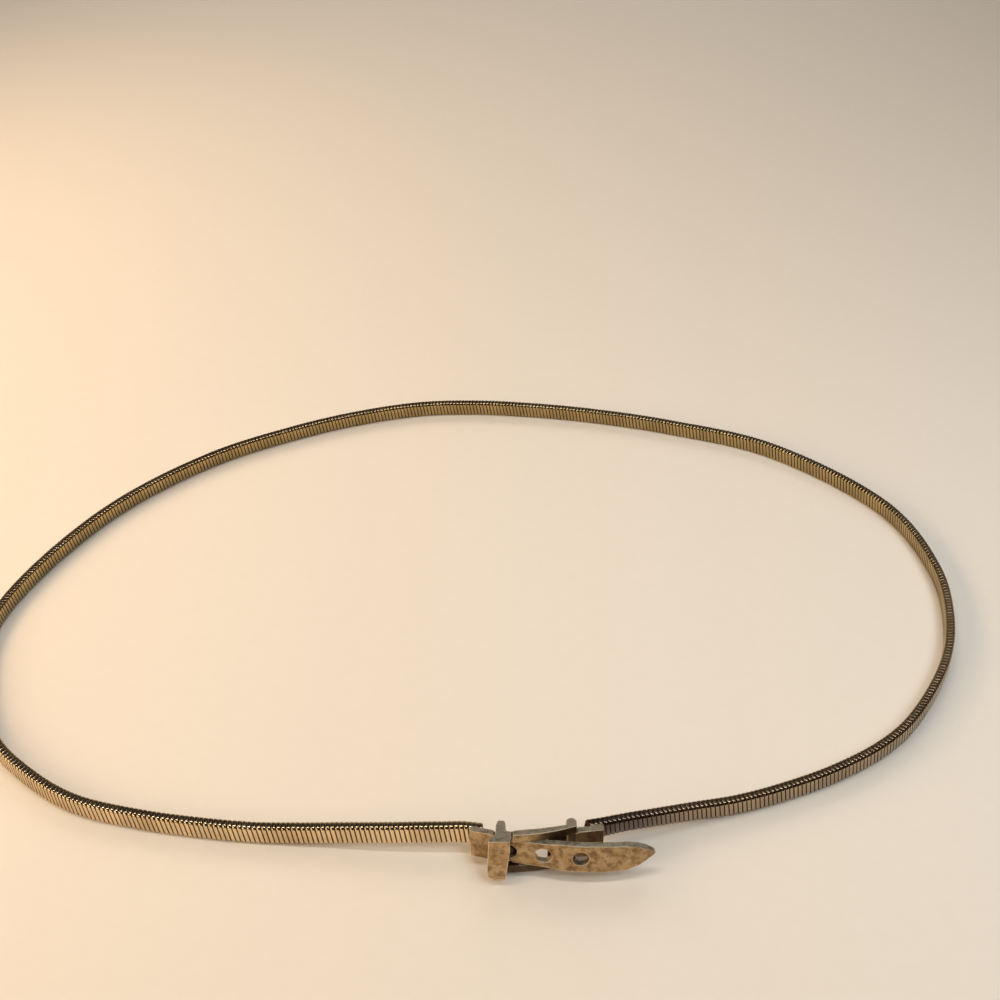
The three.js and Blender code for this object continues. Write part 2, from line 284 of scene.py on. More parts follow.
class Route:
    """The band's centre line, with the frame of its section along it."""

    SAMPLES_PER_ROW = 400

    def __init__(self, rows: tuple[RoutePoint, ...], shift: Vector, half_height: float, half_thickness: float,
                 corner: float) -> None:
        """Work the route out.

        Args:
            rows: the listed places that the band passes.
            shift: from the loop's own frame to the part's frame, in millimetres.
            half_height: half of the band's height.
            half_thickness: half of the band's thickness.
            corner: radius of the section's corners.
        """
        table = np.array(rows, float)
        count = len(rows) - 1
        position = np.linspace(0, count, count * self.SAMPLES_PER_ROW + 1)
        plan, slope = self._plan(table[:, :2], position)
        lean = np.radians(self._column(table[:, 3], position))
        lift = self._column(table[:, 2], position)
        height = lift + (half_height - corner) * np.cos(lean) + corner
        height += (half_thickness - corner) * np.abs(np.sin(lean))
        self.places = np.column_stack([plan + np.array(shift[:2]), height])
        self.tangents = slope / np.linalg.norm(slope, axis=1)[:, None]
        self.leans = lean
        steps = np.linalg.norm(np.diff(self.places, axis=0), axis=1)
        self.distance = np.concatenate([[0], np.cumsum(steps)])

    @property
    def length(self) -> float:
        """Length of the centre line in millimetres."""
        return float(self.distance[-1])

    @staticmethod
    def _column(values: np.ndarray, position: np.ndarray) -> np.ndarray:
        """Smooth value of a table's column that stays level beside a level stretch."""
        steps = np.diff(values)
        slopes = np.zeros(len(values))
        before, after = steps[:-1], steps[1:]
        rising = before * after > 0
        slopes[1:-1][rising] = 2 * before[rising] * after[rising] / (before[rising] + after[rising])
        index = np.minimum(position.astype(int), len(values) - 2)
        return cubic_step(position - index, values[index], steps[index], slopes[index], slopes[index + 1])

    @staticmethod
    def _plan(points: np.ndarray, position: np.ndarray) -> tuple[np.ndarray, np.ndarray]:
        """Centripetal curve through the plan points: its places and its slopes."""
        padded = np.vstack([2 * points[0] - points[1], points, 2 * points[-1] - points[-2]])
        gaps = np.sqrt(np.linalg.norm(np.diff(padded, axis=0), axis=1))[:, None]
        index = np.minimum(position.astype(int), len(points) - 2)
        f = (position - index)[:, None]
        p0, p1, p2, p3 = (padded[index + k] for k in range(4))
        d0, d1, d2 = (gaps[index + k] for k in range(3))
        start = d1 * ((p1 - p0) / d0 - (p2 - p0) / (d0 + d1) + (p2 - p1) / d1)
        end = d1 * ((p2 - p1) / d1 - (p3 - p1) / (d1 + d2) + (p3 - p2) / d2)
        square = 3 * (p2 - p1) - 2 * start - end
        cube = 2 * (p1 - p2) + start + end
        return p1 + f * (start + f * (square + f * cube)), start + f * (2 * square + f * 3 * cube)

    def lay(self, along: np.ndarray, across: np.ndarray, up: np.ndarray) -> np.ndarray:
        """Bend straight points onto the route.

        Args:
            along: distance of each point along the band.
            across: its place across the thickness, outwards.
            up: its place up the height.

        Returns:
            The points in the part's frame, in millimetres.
        """
        centre = np.column_stack([np.interp(along, self.distance, self.places[:, k]) for k in range(3)])
        tx, ty = (np.interp(along, self.distance, self.tangents[:, k]) for k in range(2))
        lean = np.interp(along, self.distance, self.leans)
        cosine, sine = np.cos(lean), np.sin(lean)
        normal = np.column_stack([-ty * cosine, tx * cosine, sine])
        tangent = np.column_stack([tx, ty, np.zeros_like(tx)])
        return centre + normal * across[:, None] + np.cross(tangent, normal) * up[:, None]


@dataclass
class CoilBand:
    """The flat snake chain: two metal strips wound side by side, edge to edge, round a flat section."""

    height: float = 6.0
    thickness: float = 3.0
    corner: float = 0.9
    pitch: float = 1.344
    starts: int = 2
    flat_share: float = 0.56
    crown: float = 0.02
    shoulder_share: float = 0.11
    shoulder_drop: float = 0.05
    groove_drop: float = 0.28
    corner_segments: int = 3
    weld: float = 0.002
    end_facing: float = 0.9
    long_edge_share: float = 0.25
    smooth_angle: float = 50.0
    tone_step: float = 12.9898
    tone_scatter: float = 437.5453
    name: str = "coil_winding"

    def route(self, shift: Vector) -> Route:
        """The band's centre line in the part's frame."""
        return Route(ROUTE, shift, self.height / 2, self.thickness / 2, self.corner)

    def build(self, shift: Vector) -> bpy.types.Object:
        """Wind the whole coil along its route.

        Args:
            shift: from the loop's own frame to the part's frame.

        Returns:
            The coil, in metres, in the part's frame.
        """
        route = self.route(shift)
        turns = round(route.length / self.pitch) - 1
        pitch = route.length / (turns + 1)
        coil = self._flat_ring(pitch)
        self._wind(coil, pitch)
        apply_modifier(
            coil, "ARRAY", count=turns, use_relative_offset=False, use_constant_offset=True,
            constant_offset_displace=(pitch, 0, 0), use_merge_vertices=True, merge_threshold=self.weld)
        self._close_ends(coil)
        self._paint(coil, pitch)
        self._lay(coil, route)
        take_up(coil)
        bpy.ops.object.shade_smooth_by_angle(angle=math.radians(self.smooth_angle))
        LOG.info("%s: %d turns, pitch %.3f mm, %d faces", self.name, turns, pitch, len(coil.data.polygons))
        return coil

    def _flat_ring(self, pitch: float) -> bpy.types.Object:
        """One closed turn of the strip, not yet slanted: a box opened, rounded and given its shoulders."""
        clear_selection()
        size = (pitch * self.flat_share, self.thickness, self.height)
        bpy.ops.mesh.primitive_cube_add(size=1.0, scale=size)
        ring = bpy.context.object
        ring.name = self.name
        bpy.ops.object.transform_apply(location=True, rotation=True, scale=True)
        open_for_editing(ring, "FACE")
        mesh = bmesh.from_edit_mesh(ring.data)
        for face in mesh.faces:
            face.select_set(abs(face.normal.x) > self.end_facing)
        bpy.ops.mesh.delete(type="ONLY_FACE")
        bpy.ops.mesh.select_mode(type="EDGE")
        mesh = bmesh.from_edit_mesh(ring.data)
        for edge in mesh.edges:
            edge.select_set(abs(edge.verts[0].co.x - edge.verts[1].co.x) > pitch * self.long_edge_share)
        bpy.ops.mesh.bevel(offset=self.corner, segments=self.corner_segments, affect="EDGES")
        bpy.ops.mesh.select_all(action="SELECT")
        bpy.ops.mesh.bisect(plane_co=(0, 0, 0), plane_no=(1, 0, 0))
        self._raise_crown(ring)
        for side in (-1, 1):
            self._add_shoulder(ring, side, pitch)
        self._open_seam(ring)
        return ring

    def _raise_crown(self, ring: bpy.types.Object) -> None:
        """Sink the strip's two edges a little below its middle, so that each turn is crowned."""
        mesh = bmesh.from_edit_mesh(ring.data)
        for vertex in mesh.verts:
            if abs(vertex.co.x) > NEAR:
                vertex.co.y -= math.copysign(self.crown, vertex.co.y)
                vertex.co.z -= math.copysign(self.crown, vertex.co.z)
        bmesh.update_edit_mesh(ring.data)

    def _add_shoulder(self, ring: bpy.types.Object, side: int, pitch: float) -> None:
        """Extrude one rim down over the strip's rounded edge to the floor of the groove."""
        flat_end = pitch * self.flat_share / 2
        stops = ((flat_end + pitch * self.shoulder_share, self.shoulder_drop), (pitch / 2, self.groove_drop))
        place, depth = flat_end, 0.0
        for target, drop in stops:
            mesh = bmesh.from_edit_mesh(ring.data)
            for edge in mesh.edges:
                edge.select_set(all(abs(vertex.co.x - side * place) < NEAR for vertex in edge.verts))
            bpy.ops.mesh.extrude_edges_move(TRANSFORM_OT_translate={"value": (side * (target - place), 0, 0)})
            shrink_y = (self.thickness / 2 - drop) / (self.thickness / 2 - depth)
            shrink_z = (self.height / 2 - drop) / (self.height / 2 - depth)
            bpy.ops.transform.resize(value=(1, shrink_y, shrink_z), center_override=(side * target, 0, 0))
            place, depth = target, drop

    def _open_seam(self, ring: bpy.types.Object) -> None:
        """Split the ring along the middle of its inner face, where one turn passes into the next."""
        mesh = bmesh.from_edit_mesh(ring.data)
        bpy.ops.mesh.select_mode(type="FACE")
        for face in mesh.faces:
            face.select_set(face.calc_center_median().y < 0 and abs(face.calc_center_median().z) < NEAR)
        bpy.ops.mesh.bisect(plane_co=(0, 0, 0), plane_no=(0, 0, 1))
        bpy.ops.mesh.select_mode(type="EDGE")
        bpy.ops.mesh.select_all(action="DESELECT")
        mesh = bmesh.from_edit_mesh(ring.data)
        for edge in mesh.edges:
            on_seam = all(vertex.co.y < 0 and abs(vertex.co.z) < NEAR for vertex in edge.verts)
            edge.select_set(on_seam)
        bpy.ops.mesh.edge_split(type="EDGE")
        bpy.ops.object.mode_set(mode="OBJECT")

    def _half_round(self) -> float:
        """Length of half the way round the section."""
        flats = self.height + self.thickness - 4 * self.corner
        return flats + math.pi * self.corner

    def _turn_share(self, across: float, up: float) -> float:
        """Share of half a turn from the middle of the outer face to a place of the section."""
        way = self._way_round(abs(across), abs(up))
        half = self._half_round()
        return (way if across >= 0 else half - way) / half

    def _way_round(self, across: float, up: float) -> float:
        """Way along the section from the middle of its outer face to a place in its upper outer quarter."""
        side = across - (self.thickness / 2 - self.corner)
        rise = up - (self.height / 2 - self.corner)
        if rise <= 0:
            return up
        if side >= 0:
            return self.height / 2 - self.corner + self.corner * math.atan2(rise, side)
        return self.height / 2 - self.corner + self.corner * math.pi / 2 - side

    def _advance(self, across: float, up: float, side: float, pitch: float) -> float:
        """How far the winding carries a place of the section along the band, above or below its middle."""
        return math.copysign(self._turn_share(across, up), side) * self.starts * pitch / 2

    def _wind(self, ring: bpy.types.Object, pitch: float) -> None:
        """Slant the turn into one turn of a right-handed helix."""
        mesh = bmesh.new()
        mesh.from_mesh(ring.data)
        for vertex in mesh.verts:
            side = sum(face.calc_center_median().z for face in vertex.link_faces)
            vertex.co.x += self._advance(vertex.co.y, vertex.co.z, side, pitch)
        mesh.to_mesh(ring.data)
        mesh.free()

    def _close_ends(self, coil: bpy.types.Object) -> None:
        """Merge the turns' meeting edges and close both ends of the winding."""
        open_for_editing(coil, "VERT")
        bpy.ops.mesh.select_all(action="SELECT")
        bpy.ops.mesh.remove_doubles(threshold=self.weld)
        bpy.ops.mesh.select_mode(type="EDGE")
        bpy.ops.mesh.select_all(action="DESELECT")
        bpy.ops.mesh.select_non_manifold(
            extend=False, use_wire=False, use_multi_face=False, use_non_contiguous=False, use_verts=False)
        bpy.ops.mesh.fill_holes(sides=0)
        bpy.ops.mesh.select_all(action="SELECT")
        bpy.ops.mesh.normals_make_consistent(inside=False)
        bpy.ops.object.mode_set(mode="OBJECT")

    def _paint(self, coil: bpy.types.Object, pitch: float) -> None:
        """Store what the finish follows: groove depth, inner side, way along and each turn's own tone."""
        places = vertex_places(coil)
        own = np.array([x - self._advance(y, z, z, pitch) for x, y, z in places]) / pitch
        turn = np.round(own)
        half_flat = self.flat_share / 2
        depth = np.interp(np.abs(own - turn), (half_flat, half_flat + self.shoulder_share, 0.5),
                          (0, self.shoulder_drop / self.groove_drop, 1))
        inside = np.clip(0.5 - places[:, 1] / self.thickness, 0, 1)
        along = places[:, 0] - places[:, 0].min()
        tone = np.modf(np.sin(turn * self.tone_step) * self.tone_scatter)[0] * 0.5 + 0.5
        marks = {"groove": depth, "inside": inside, "along": along / along.max(), "tone": tone}
        for name, values in marks.items():
            store_values(coil, name, values)

    def _lay(self, coil: bpy.types.Object, route: Route) -> None:
        """Bend the straight coil along the route and turn it into metres."""
        places = vertex_places(coil)
        along = places[:, 0] - places[:, 0].min()
        laid = route.lay(along * route.length / along.max(), places[:, 1], places[:, 2]) * MM
        coil.data.vertices.foreach_set("co", laid.astype(np.float32).ravel())
        coil.data.update()
        coil.matrix_world = Matrix.Identity(4)


@dataclass
class ClaspSeat:
    """Where the clasp stands: it leans back as one group at the front of the loop."""

    y: float = -106.2
    z: float = 6.72
    lean: float = 13.0
    shift: Vector = Vector((0, 0, 0))

    def matrix(self) -> Matrix:
        """From the clasp's own millimetres to the part's metres."""
        place = Matrix.Translation(Vector((self.shift.x, self.y + self.shift.y, self.z)))
        return Matrix.Scale(MM, 4) @ place @ Matrix.Rotation(-math.radians(self.lean), 4, "X")

    def settle(self, piece: bpy.types.Object) -> None:
        """Put a piece made in the clasp's own frame into the part's frame."""
        piece.data.transform(self.matrix())
        piece.data.update()


@dataclass(frozen=True)
class WornSurface:
    """How far a cast and plated piece is rubbed down: grain of the surface, rubbing and dents."""

    grain: float = 0.12
    rub: int = 3
    rub_strength: float = 0.5
    dent_size: float = 1.6
    dent_depth: float = 0.06
    dent_middle: float = 0.5

    def wear(self, piece: bpy.types.Object) -> None:
        """Fuse a piece into one skin, round its edges and give it shallow dents."""
        apply_modifier(piece, "REMESH", mode="VOXEL", voxel_size=self.grain, use_smooth_shade=True)
        apply_modifier(piece, "SMOOTH", factor=self.rub_strength, iterations=self.rub)
        dents = bpy.data.textures.new(piece.name + "_dents", "CLOUDS")
        dents.noise_scale = self.dent_size
        apply_modifier(
            piece, "DISPLACE", texture=dents, strength=self.dent_depth, mid_level=self.dent_middle)
        LOG.info("%s: %d faces", piece.name, len(piece.data.polygons))


@dataclass
class StrapTongue:
    """The bent strap: soldered plate at the left, three holes and a leaf-shaped tip."""

    thickness: float = 2.0
    hole_radius: float = 2.2
    holes: tuple[float, ...] = (9.0, 18.2, 28.0)
    tip: float = 47.9
    samples: int = 60
    reach: float = 10.0
    name: str = "worn_strap"
    face: tuple[PlanPoint, ...] = (
        PlanPoint(-1.5, 0.7), PlanPoint(4, 2.13), PlanPoint(8, 3.45), PlanPoint(11, 4.2),
        PlanPoint(14.6, 4.75), PlanPoint(18, 5.3), PlanPoint(22.4, 6.1), PlanPoint(27.8, 6.55),
        PlanPoint(33, 6.5), PlanPoint(38.3, 6.05), PlanPoint(43.8, 5.0), PlanPoint(48.2, 3.9),
    )
    edge: tuple[StrapEdge, ...] = (
        StrapEdge(-1.5, 4.25, 4.25), StrapEdge(4.9, 4.25, 4.25), StrapEdge(6.2, 3.0, 3.0),
        StrapEdge(9.2, 3.0, 3.0), StrapEdge(10.1, 3.8, 3.65), StrapEdge(19.6, 3.88, 3.9),
        StrapEdge(21.4, 4.25, 4.25), StrapEdge(33, 4.1, 4.5), StrapEdge(40.3, 3.75, 4.4),
        StrapEdge(43.4, 2.95, 3.35), StrapEdge(45.5, 1.85, 2.0), StrapEdge(47.1, 0.65, 0.75),
    )
    low_left: float = -1.1

    def build(self) -> bpy.types.Object:
        """The strap in the clasp's own frame."""
        strap = plan_solid(self.name, self._bent_strip(), -self.reach, self.reach)
        upper = [FacePoint(row.x, row.top) for row in self.edge]
        lower = [FacePoint(max(row.x, self.low_left), -row.low) for row in self.edge]
        outline = [*upper, FacePoint(self.tip, 0), *reversed(lower)]
        combine(strap, face_solid("outline", outline, self.reach), Join.KEEP)
        for x in self.holes:
            combine(strap, peg("punch", x, self.hole_radius, -self.reach, self.reach), Join.CUT)
        return strap

    def _bent_strip(self) -> list[PlanPoint]:
        """Strip seen from above, between a smooth outer face and an inner face one thickness behind it."""
        rows = np.array(self.face, float)
        position = np.linspace(0, len(rows) - 1, self.samples + 1)
        index = np.minimum(position.astype(int), len(rows) - 2)
        f = (position - index)[:, None]
        slopes = np.gradient(rows, axis=0)
        rise = rows[index + 1] - rows[index]
        outer = cubic_step(f, rows[index], rise, slopes[index], slopes[index + 1])
        along = np.gradient(outer, axis=0)
        along /= np.linalg.norm(along, axis=1)[:, None]
        inner = outer + self.thickness * np.column_stack([along[:, 1], -along[:, 0]])
        return [PlanPoint(*row) for row in [*outer, *inner[::-1]]]


@dataclass
class KeeperLoop:
    """The closed loop round the strap: broad front bar, narrow back ear."""

    front: float = 7.5
    back: float = -1.1
    half: float = 6.35
    front_wall: float = 1.2
    back_wall: float = 0.9
    cap_wall: float = 1.25
    reach: float = 20.0
    name: str = "worn_keeper"
    plan: tuple[PlanPoint, ...] = (
        PlanPoint(3.3, 7.5), PlanPoint(9.3, 7.5), PlanPoint(9.7, 4.2), PlanPoint(9.7, 3.2),
        PlanPoint(8.3, 2.9), PlanPoint(8.1, -0.4), PlanPoint(7.6, -1.1), PlanPoint(6.1, -1.1),
        PlanPoint(5.6, 0.4), PlanPoint(5.4, 4.3), PlanPoint(3.4, 6.4),
    )
    sides: tuple[FacePoint, ...] = (
        FacePoint(3.7, 6.35), FacePoint(3.3, -4.3), FacePoint(3.7, -5.6), FacePoint(5.0, -6.35),
        FacePoint(8.25, -6.35), FacePoint(9.7, 6.35),
    )

    def build(self) -> bpy.types.Object:
        """The keeper in the clasp's own frame."""
        keeper = plan_solid(self.name, list(self.plan), -self.half, self.half)
        combine(keeper, face_solid("sides", list(self.sides), self.reach), Join.KEEP)
        top = self.half - self.cap_wall
        low = (-self.reach, self.back + self.back_wall, -top)
        high = (self.reach, self.front - self.front_wall, top)
        combine(keeper, bar("inside", low, high), Join.CUT)
        return keeper


@dataclass
class BuckleFrame:
    """The curved frame: two rails, right bar with its web, hinge ears, back tab, yoke and stud."""

    half: float = 6.35
    window: float = 3.95
    top_left: float = 10.0
    low_left: float = 8.75
    left_front: float = 4.95
    left_back: float = 2.95
    lap: float = 0.3
    name: str = "worn_frame"
    front: tuple[PlanPoint, ...] = (
        PlanPoint(12, 4.7), PlanPoint(17.2, 4.07), PlanPoint(22, 2.85), PlanPoint(27.05, 0.95),
    )
    back: tuple[PlanPoint, ...] = (
        PlanPoint(24.25, 0.45), PlanPoint(22.6, 0.73), PlanPoint(17.25, 1.9), PlanPoint(11.95, 2.57),
    )
    right_bar: tuple[PlanPoint, ...] = (
        PlanPoint(19.4, 3.2), PlanPoint(22.7, 2.59), PlanPoint(22.7, 0.73), PlanPoint(19.4, 1.45),
    )
    web: tuple[PlanPoint, ...] = (
        PlanPoint(22.4, 1.6), PlanPoint(24.5, 1.25), PlanPoint(24.5, 0.6), PlanPoint(22.4, 0.85),
    )
    tab: tuple[PlanPoint, ...] = (
        PlanPoint(7.9, 0.9), PlanPoint(10.5, 1.5), PlanPoint(10.5, 0.1), PlanPoint(7.9, 0.1),
    )
    tab_half: float = 3.6
    ear_x: float = 25.65
    ear_out: float = -0.95
    ear_radius: float = 1.4
    ear_facets: int = 24
    yoke_left: float = 10.0
    yoke_right: float = 11.6
    yoke_back: float = 0.6
    yoke_front: float = 1.85
    yoke_half: float = 4.4
    leg_front: float = 3.2
    leg_half: float = 4.0
    stud_x: float = 9.0
    stud_radius: float = 1.5
    stud_root: float = 0.5
    stud_out: float = 3.4

    def build(self) -> bpy.types.Object:
        """The frame in the clasp's own frame."""
        leg_top = self.window + self.lap
        frame = plan_solid(self.name, self._rail(self.top_left), self.window, self.half)
        parts = [
            plan_solid("low_rail", self._rail(self.low_left), -self.half, -self.window),
            plan_solid("right_bar", list(self.right_bar), -leg_top, leg_top),
            plan_solid("web", list(self.web), -leg_top, leg_top),
            plan_solid("tab", list(self.tab), -self.tab_half, self.tab_half),
            bar("yoke", (self.yoke_left, self.yoke_back, -self.yoke_half),
                (self.yoke_right, self.yoke_front, self.yoke_half)),
            bar("upper_leg", (self.yoke_left, self.yoke_front - self.lap, self.leg_half),
                (self.yoke_right, self.leg_front, leg_top)),
            bar("lower_leg", (self.yoke_left, self.yoke_front - self.lap, -leg_top),
                (self.yoke_right, self.leg_front, -self.leg_half)),
            peg("stud", self.stud_x, self.stud_radius, self.stud_root, self.stud_out),
        ]
        for part in parts:
            combine(frame, part, Join.WELD)
        return frame

    def _rail(self, left: float) -> list[PlanPoint]:
        """One rail seen from above: curved front, rounded hinge ear and curved back."""
        rows = [PlanPoint(left, self.left_front), *self.front]
        for step in range(self.ear_facets + 1):
            turn = -math.pi * step / self.ear_facets
            rows.append(PlanPoint(self.ear_x + self.ear_radius * math.cos(turn),
                                  self.ear_out + self.ear_radius * math.sin(turn)))
        return [*rows, *self.back, PlanPoint(left, self.left_back)]

    def shift_in(self, seat: ClaspSeat) -> Vector:
        """How far the loop's own frame lies from the part's, read off this piece's box."""
        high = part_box("buckle_frame")[1] / MM
        lean = math.radians(seat.lean)
        ear_back = seat.y + (self.ear_radius - self.ear_out) * math.cos(lean) + self.half * math.sin(lean)
        return Vector((high.x - self.ear_x - self.ear_radius, high.y - ear_back, 0))


@dataclass
class EndPlate:
    """The plate on the band's right end: knuckle between the frame's ears, leaf and thicker end block."""

    ear_x: float = 25.65
    ear_out: float = -0.95
    knuckle_radius: float = 1.15
    knuckle_half: float = 3.9
    knuckle_facets: int = 32
    neck_front: float = 1.05
    neck_back: float = 0.4
    neck_end: float = 27.8
    left: float = 26.9
    right: float = 34.35
    front_left: float = 1.1
    front_right: float = 0.34
    leaf_left: float = 27.4
    leaf_half: float = 4.3
    leaf_back_left: float = -1.16
    leaf_back_right: float = -1.6
    block_left: float = 30.9
    block_half: float = 4.45
    block_proud: float = 0.07
    block_back_left: float = -1.95
    block_back_right: float = -2.2
    name: str = "worn_end_plate"

    def _front(self, x: float) -> float:
        """The plate's front face at a place along the belt."""
        share = (x - self.left) / (self.right - self.left)
        return self.front_left + share * (self.front_right - self.front_left)

    def _knuckle(self) -> list[PlanPoint]:
        """Round knuckle seen from above."""
        turns = [2 * math.pi * step / self.knuckle_facets for step in range(self.knuckle_facets)]
        return [PlanPoint(self.ear_x + self.knuckle_radius * math.cos(turn),
                          self.ear_out + self.knuckle_radius * math.sin(turn)) for turn in turns]

    def build(self) -> bpy.types.Object:
        """The end plate in the clasp's own frame."""
        neck = [
            PlanPoint(self.ear_x, self.ear_out + self.neck_front),
            PlanPoint(self.left, self.front_left),
            PlanPoint(self.neck_end, self._front(self.neck_end)),
            PlanPoint(self.neck_end, self.leaf_back_left),
            PlanPoint(self.ear_x, self.ear_out - self.neck_back),
        ]
        leaf = [
            PlanPoint(self.leaf_left, self._front(self.leaf_left)), PlanPoint(self.right, self.front_right),
            PlanPoint(self.right, self.leaf_back_right), PlanPoint(self.leaf_left, self.leaf_back_left),
        ]
        block = [
            PlanPoint(self.block_left, self._front(self.block_left) + self.block_proud),
            PlanPoint(self.right, self.front_right), PlanPoint(self.right, self.block_back_right),
            PlanPoint(self.block_left, self.block_back_left),
        ]
        plate = plan_solid(self.name, self._knuckle(), -self.knuckle_half, self.knuckle_half)
        parts = (("neck", neck, self.knuckle_half), ("leaf", leaf, self.leaf_half),
                 ("block", block, self.block_half))
        for name, rows, half in parts:
            combine(plate, plan_solid(name, rows, -half, half), Join.WELD)
        return plate


class NodeBoard:
    """Adds and links nodes in one tree."""

    def __init__(self, tree: bpy.types.NodeTree) -> None:
        """Take the tree to work on."""
        self.tree = tree

    def add(self, kind: str, **settings: object) -> bpy.types.Node:
        """Add one node with the given settings."""
        node = self.tree.nodes.new(kind)
        for key, value in settings.items():
            setattr(node, key, value)
        return node

    def feed(self, socket: bpy.types.NodeSocket, value: object) -> None:
        """Link a socket, or set its value where a plain value is given."""
        if isinstance(value, bpy.types.NodeSocket):
            self.tree.links.new(value, socket)
        else:
            socket.default_value = value

    def span(
            self, value: object, low: float, high: float, start: float = 0.0, end: float = 1.0,
    ) -> bpy.types.NodeSocket:
        """Carry a value smoothly from one span to another, held at both ends."""
        node = self.add("ShaderNodeMapRange", interpolation_type="SMOOTHSTEP")
        for socket, number in zip(node.inputs, (value, low, high, start, end)):
            self.feed(socket, number)
        return node.outputs["Result"]

    def mix(self, share: object, first: object, second: object, mode: str = "MIX") -> bpy.types.NodeSocket:
        """Mix two colours."""
        node = self.add("ShaderNodeMix", data_type="RGBA", blend_type=mode)
        self.feed(node.inputs["Factor"], share)
        colours = [socket for socket in node.inputs if socket.type == "RGBA"]
        for socket, colour in zip(colours, (first, second)):
            self.feed(socket, colour)
        return next(socket for socket in node.outputs if socket.type == "RGBA")

    def math(self, kind: str, first: object, second: object) -> bpy.types.NodeSocket:
        """Work out one sum."""
        node = self.add("ShaderNodeMath", operation=kind)
        self.feed(node.inputs[0], first)
        self.feed(node.inputs[1], second)
        return node.outputs["Value"]


class NodeBench(NodeBoard):
    """Builds one material's node tree."""

    def __init__(self, name: str) -> None:
        """Start a material with a bare Principled shader."""
        self.material = bpy.data.materials.new(name)
        self.material.use_nodes = True
        super().__init__(self.material.node_tree)
        self.shader = next(node for node in self.tree.nodes if node.type == "BSDF_PRINCIPLED")
        self.place = self.add("ShaderNodeTexCoord").outputs["Object"]

    def noise(self, grain: Grain) -> bpy.types.NodeSocket:
        """Noise on the piece's own place."""
        node = self.add("ShaderNodeTexNoise")
        self.feed(node.inputs["Vector"], self.place)
        self.feed(node.inputs["Scale"], grain.scale)
        self.feed(node.inputs["Detail"], grain.detail)
        self.feed(node.inputs["Roughness"], grain.rough)
        return node.outputs["Fac"]

    def attribute(self, name: str) -> bpy.types.NodeSocket:
        """A value that is stored on the piece's mesh."""
        return self.add("ShaderNodeAttribute", attribute_name=name).outputs["Fac"]

    def shade(self, colour: object, light: bpy.types.NodeSocket) -> bpy.types.NodeSocket:
        """Make a colour lighter or darker by a factor."""
        grey = self.add("ShaderNodeCombineColor")
        for socket in list(grey.inputs)[:3]:
            self.feed(socket, light)
        return self.mix(1.0, colour, grey.outputs["Color"], "MULTIPLY")

    def bump(self, height: bpy.types.NodeSocket, distance: float, strength: float) -> None:
        """Roughen the surface by a height."""
        node = self.add("ShaderNodeBump")
        self.feed(node.inputs["Height"], height)
        self.feed(node.inputs["Distance"], distance)
        self.feed(node.inputs["Strength"], strength)
        self.feed(self.shader.inputs["Normal"], node.outputs["Normal"])

    def set(self, **values: object) -> None:
        """Set or link the shader's sockets, named with low lines for spaces."""
        for name, value in values.items():
            self.feed(self.shader.inputs[name.replace("_", " ")], value)


@dataclass(frozen=True)
class CoilGilt:
    """Polished gilt with painted shade on the right, brown tarnish in the grooves, olive brown on the inner
    side.
    """

    crown: Colour = (0.84, 0.65, 0.41, 1)
    worn: Colour = (0.72, 0.53, 0.31, 1)
    # Painted shade: darker, greyer gilt laid along the right part of the loop.
    painted_shade_bronze: Colour = (0.46, 0.35, 0.24, 1)
    # Painted shadow: dark violet grey laid on the band just right of the clasp.
    painted_shadow_lilac: Colour = (0.20, 0.16, 0.14, 1)
    groove: Colour = (0.10, 0.045, 0.018, 1)
    inner: Colour = (0.50, 0.37, 0.18, 1)
    stains: Grain = Grain(45, 5)
    stain_span: Span = (0.4, 0.65)
    painted_shade_along: Span = (0.72, 0.9)
    painted_shadow_along: Span = (0.955, 0.985)
    inner_side: Span = (0.55, 1)
    turn_tone: Span = (0.84, 1.0)
    groove_depth: Span = (0.06, 0.24)
    scuffs: Grain = Grain(900, 3)
    polish: Span = (0.15, 0.21)
    groove_dullness: float = 0.4
    name: str = "coil_gilt"

    def material(self) -> bpy.types.Material:
        """Make the material."""
        bench = NodeBench(self.name)
        stains = bench.span(bench.noise(self.stains), *self.stain_span)
        gilt = bench.mix(stains, self.crown, self.worn)
        along = bench.attribute("along")
        # Painted shade: the right part of the loop darkens, and next to the clasp a violet grey painted
        # shadow follows.
        gilt = bench.mix(bench.span(along, *self.painted_shade_along), gilt, self.painted_shade_bronze)
        gilt = bench.mix(bench.span(along, *self.painted_shadow_along), gilt, self.painted_shadow_lilac)
        gilt = bench.mix(bench.span(bench.attribute("inside"), *self.inner_side), gilt, self.inner)
        gilt = bench.shade(gilt, bench.span(bench.attribute("tone"), 0, 1, *self.turn_tone))
        dark = bench.span(bench.attribute("groove"), *self.groove_depth)
        bench.set(Base_Color=bench.mix(dark, gilt, self.groove), Metallic=1.0)
        rough = bench.span(bench.noise(self.scuffs), *NOISE_SPAN, *self.polish)
        bench.set(Roughness=bench.math("ADD", rough, bench.math("MULTIPLY", dark, self.groove_dullness)))
        return bench.material


